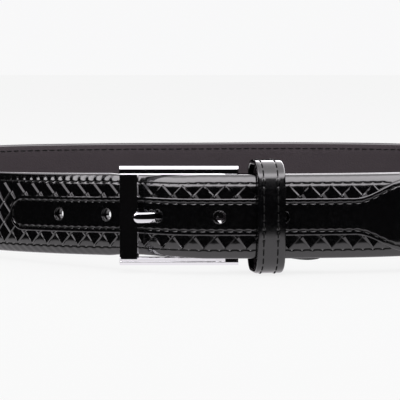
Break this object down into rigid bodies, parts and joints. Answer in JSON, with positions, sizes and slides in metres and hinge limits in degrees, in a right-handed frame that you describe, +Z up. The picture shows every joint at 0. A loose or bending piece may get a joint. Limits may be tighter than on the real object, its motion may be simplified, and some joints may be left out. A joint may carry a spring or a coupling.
{
  "type": "dress belt",
  "caption": "Black patent leather dress belt fastened into a loop on its edge, woven-look face, smooth centre strip, plain frame buckle and keeper loop.",
  "frame": {"origin": "centre of the bounding box at the table, under the loop", "axes": "+X to the wearer's left along the front, towards the free end; +Y from the buckle to the back of the loop; +Z up across the strap's width"},
  "size_m": [0.3506, 0.3436, 0.0459],
  "materials": {
    "patent_leather": "high gloss patent, woven-look embossing on the face",
    "lining_leather": "matt smooth grain",
    "filler_board": "raw bonded fibre",
    "thread": "waxed",
    "chrome": "mirror polish"
  },
  "bodies": {
    "belt": {"face_leather": "patent_leather", "core": "filler_board", "lining": "lining_leather", "upper_edge_seam": "thread", "lower_edge_seam": "thread", "centre_strip": "patent_leather", "upper_strip_seam": "thread", "lower_strip_seam": "thread", "buckle_fold": "lining_leather", "upper_post_head": "chrome", "lower_post_head": "chrome", "upper_post_screw": "chrome", "lower_post_screw": "chrome"},
    "free_end": {"tip_face_leather": "patent_leather", "tip_core": "filler_board", "tip_lining": "lining_leather", "tip_upper_edge_seam": "thread", "tip_lower_edge_seam": "thread", "tip_centre_strip": "patent_leather", "tip_upper_strip_seam": "thread", "tip_lower_strip_seam": "thread"},
    "buckle": {"buckle_frame": "chrome", "heel_bar": "chrome"},
    "tongue": {"tongue": "chrome"},
    "keeper": {"keeper_loop": "patent_leather", "keeper_lining": "lining_leather", "keeper_left_seam": "thread", "keeper_right_seam": "thread", "keeper_staple": "chrome"}
  },
  "joints": [
    {"name": "frame_pivot", "type": "hinge", "parent": "belt", "child": "buckle", "pos_m": [-0.00273, -0.1575, 0.0235], "axis": [0, 0, 1], "range_deg": [-1.4, 0.4]},
    {"name": "tongue_pivot", "type": "hinge", "parent": "belt", "child": "tongue", "pos_m": [-0.00273, -0.1575, 0.0235], "axis": [0, 0, 1], "range_deg": [0, 0.5]},
    {"name": "keeper_slide", "type": "slide", "parent": "belt", "child": "keeper", "axis": [0.9986, 0.0523, 0], "range_m": [0, 0.008]},
    {"name": "free_end_flex", "type": "hinge", "parent": "belt", "child": "free_end", "pos_m": [0.03322, -0.16596, 0.0235], "axis": [0, 0, -1], "range_deg": [0, 20], "stiffness_Nm_per_rad": 0.02}
  ]
}
